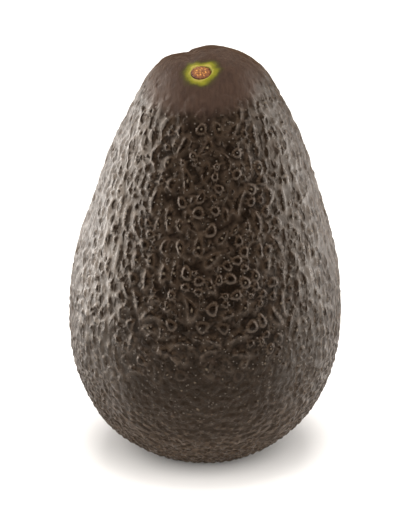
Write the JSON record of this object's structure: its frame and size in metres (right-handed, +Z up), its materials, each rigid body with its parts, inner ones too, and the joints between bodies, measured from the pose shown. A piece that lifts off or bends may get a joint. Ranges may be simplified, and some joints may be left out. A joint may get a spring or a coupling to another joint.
{
  "type": "avocado",
  "caption": "Ripe pear-shaped avocado with a dark pebbled skin, standing on its broad end, with the trimmed stalk set in the crown.",
  "frame": {"origin": "middle of the flat spot that the fruit stands on", "axes": "+Z up from the broad end to the crown, -Y towards the side that the stalk leans to"},
  "size_m": [0.0686, 0.0686, 0.1039],
  "materials": {
    "skin": "dark brown-black pebbled rind with a waxy sheen",
    "stalk": "dry corky orange-brown stalk end, matt"
  },
  "bodies": {
    "root": {"fruit": "skin", "stem_plug": "stalk"}
  },
  "joints": []
}
